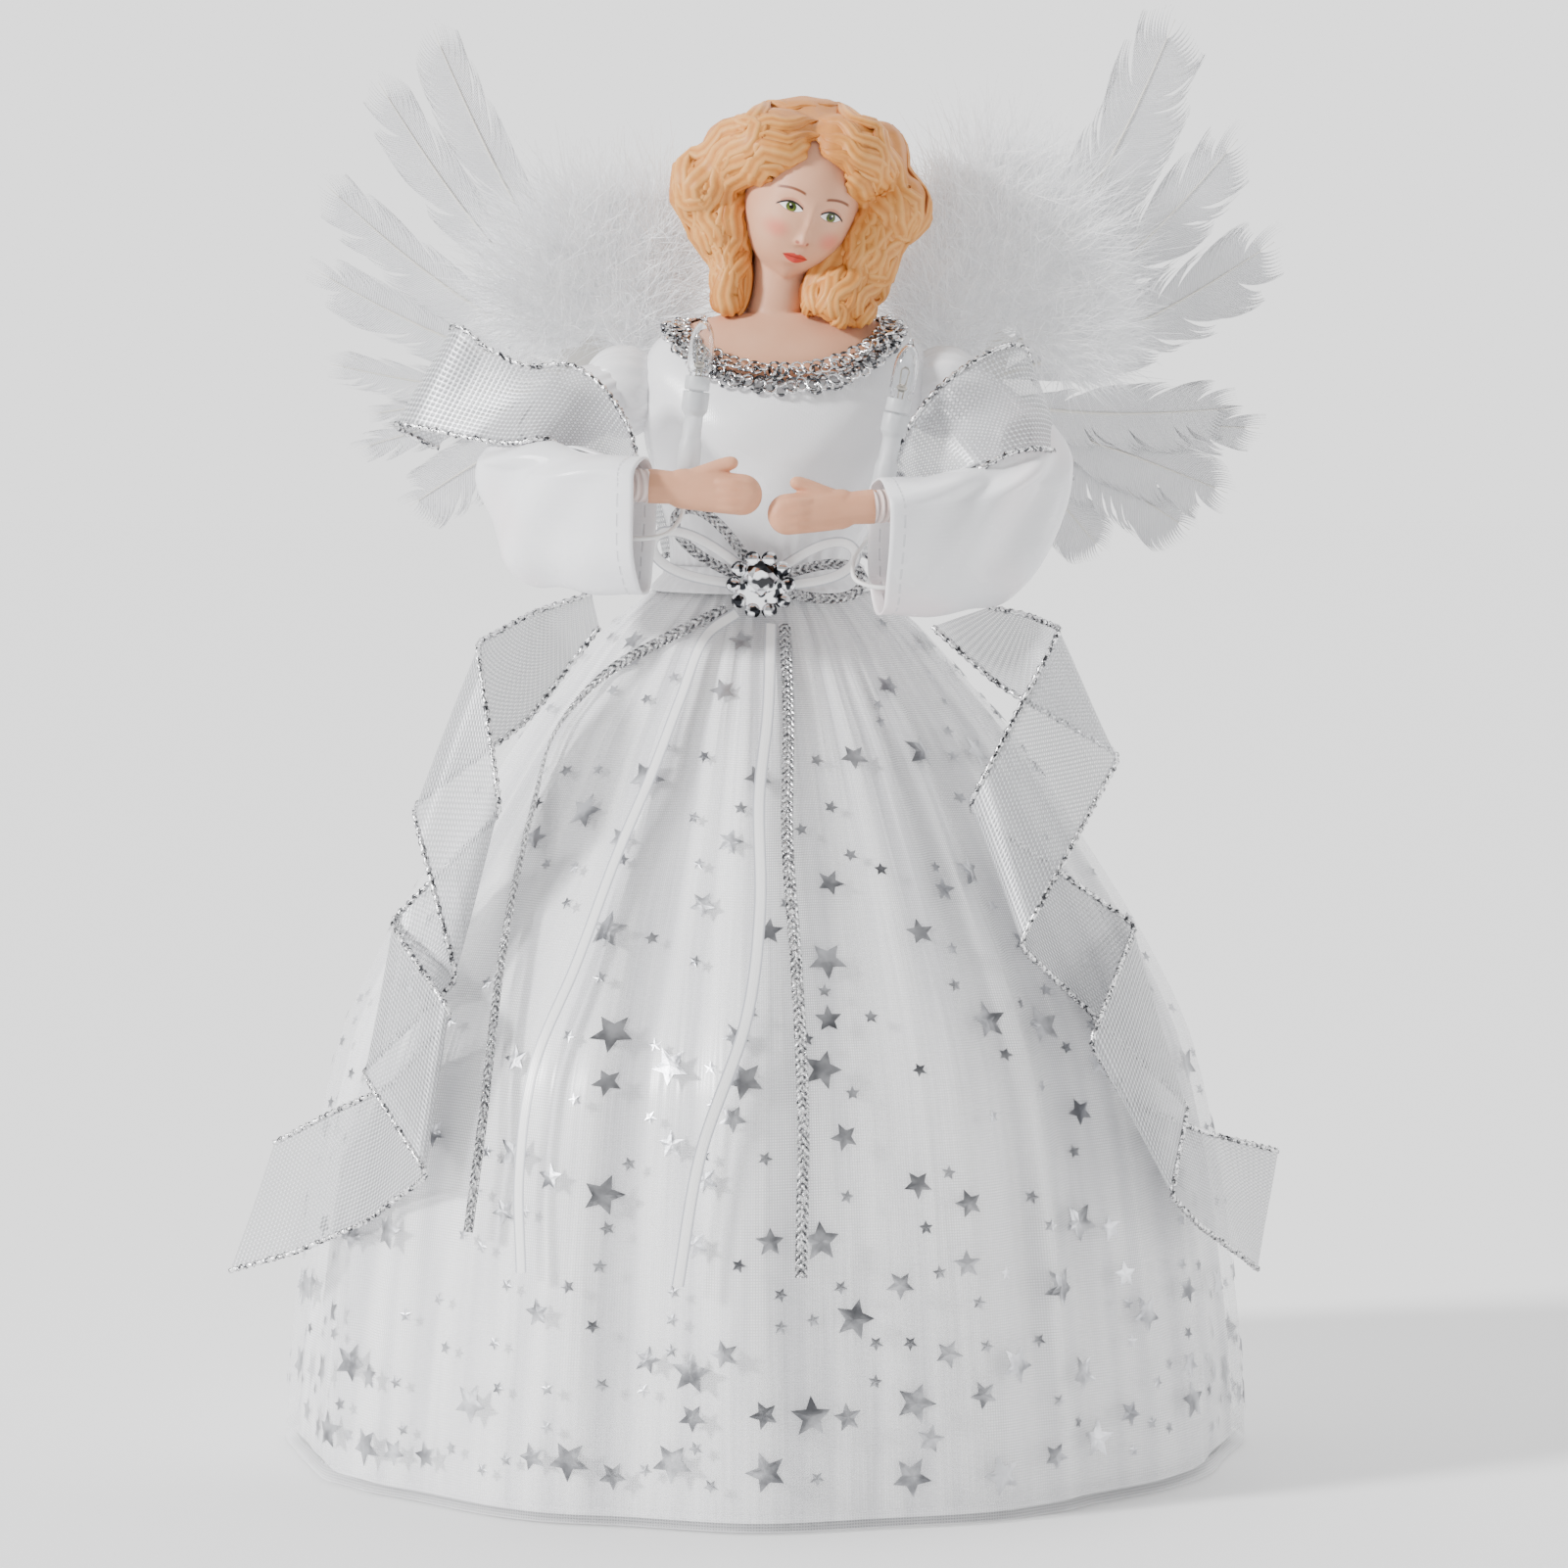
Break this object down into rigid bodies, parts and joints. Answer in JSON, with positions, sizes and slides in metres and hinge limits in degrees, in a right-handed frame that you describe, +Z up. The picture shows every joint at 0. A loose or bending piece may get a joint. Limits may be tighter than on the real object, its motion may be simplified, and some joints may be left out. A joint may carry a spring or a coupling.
{
  "type": "angel tree topper",
  "caption": "Angel doll on a hollow cone that drops over a tree's top shoot, in a long skirt, with feather wings that fold and a candle lamp in each hand.",
  "frame": {"origin": "on the floor at the middle of the cone's rim and of the skirt", "axes": "+X towards the figure's own left, which is the viewer's right; +Y towards the back; +Z up. The figure faces -Y."},
  "size_m": [0.214, 0.1972, 0.293],
  "materials": {
    "card": "white card, matt",
    "bisque": "flesh tint bisque look, matt, painted features",
    "hair": "strawberry blond moulded waves, soft sheen",
    "satin": "white satin, high sheen",
    "organza": "white organza with silver foil stars",
    "net": "stiff white net",
    "silver_braid": "silver metallic braid, bright",
    "mirror_bead": "mirror coated beads",
    "cut_stone": "faceted, foil backed",
    "sheer_ribbon": "sheer white ribbon with wired silver edges",
    "feather": "white quill feathers",
    "down": "white down",
    "padding": "pale pink ribbed padding",
    "frosted_plastic": "frosted translucent plastic",
    "lamp_glass": "clear glass",
    "lamp_stem": "white glass bead and fine leads",
    "wire_cover": "white plastic insulation, satin"
  },
  "bodies": {
    "figure": {"tree_cone": "card", "body_form": "card", "head_and_shoulders": "bisque", "hair": "hair", "bodice": "satin", "neck_trim": "silver_braid", "waistband": "satin", "overskirt": "organza", "underskirt": "satin", "petticoat": "net", "brooch_setting": "mirror_bead", "brooch_stone": "cut_stone", "silver_bow": "silver_braid", "white_bow": "satin", "silver_tail_right": "silver_braid", "silver_tail_left": "silver_braid", "white_tail_right": "satin", "white_tail_left": "satin", "stole_tail_right": "sheer_ribbon", "stole_tail_left": "sheer_ribbon", "stole_back": "sheer_ribbon", "wing_plate": "card"},
    "right_wing": {"wing_card_right": "card", "feather_right_1": "feather", "feather_right_2": "feather", "feather_right_3": "feather", "feather_right_4": "feather", "feather_right_5": "feather", "feather_right_6": "feather", "feather_right_7": "feather", "feather_right_8": "feather", "wing_down_right": "down"},
    "left_wing": {"wing_card_left": "card", "feather_left_1": "feather", "feather_left_2": "feather", "feather_left_3": "feather", "feather_left_4": "feather", "feather_left_5": "feather", "feather_left_6": "feather", "feather_left_7": "feather", "feather_left_8": "feather", "wing_down_left": "down"},
    "right_arm": {"arm_core_right": "padding", "sleeve_right": "satin", "hand_right": "bisque", "candle_holder_right": "frosted_plastic", "lamp_wires_right": "wire_cover", "stole_loop_right": "sheer_ribbon"},
    "left_arm": {"arm_core_left": "padding", "sleeve_left": "satin", "hand_left": "bisque", "candle_holder_left": "frosted_plastic", "lamp_wires_left": "wire_cover", "stole_loop_left": "sheer_ribbon"},
    "right_bulb": {"bulb_base_right": "frosted_plastic", "bulb_glass_right": "lamp_glass", "bulb_stem_right": "lamp_stem"},
    "left_bulb": {"bulb_base_left": "frosted_plastic", "bulb_glass_left": "lamp_glass", "bulb_stem_left": "lamp_stem"}
  },
  "joints": [
    {"name": "right_wing_fold", "type": "hinge", "parent": "figure", "child": "right_wing", "pos_m": [-0.008, 0.0217, 0.218], "axis": [0, 0, -1], "range_deg": [0, 40]},
    {"name": "left_wing_fold", "type": "hinge", "parent": "figure", "child": "left_wing", "pos_m": [0.01155, 0.0217, 0.218], "axis": [0, 0, 1], "range_deg": [0, 40]},
    {"name": "right_arm_swing", "type": "hinge", "parent": "figure", "child": "right_arm", "pos_m": [-0.02931, 0.001, 0.216], "axis": [0, 0, -1], "range_deg": [0, 25]},
    {"name": "left_arm_swing", "type": "hinge", "parent": "figure", "child": "left_arm", "pos_m": [0.03747, 0.001, 0.216], "axis": [0, 0, 1], "range_deg": [0, 25]},
    {"name": "right_bulb_pull", "type": "slide", "parent": "right_arm", "child": "right_bulb", "axis": [0.1156, 0, 0.9933], "range_m": [0, 0.012]},
    {"name": "left_bulb_pull", "type": "slide", "parent": "left_arm", "child": "left_bulb", "axis": [0.1949, 0, 0.9808], "range_m": [0, 0.012]}
  ]
}
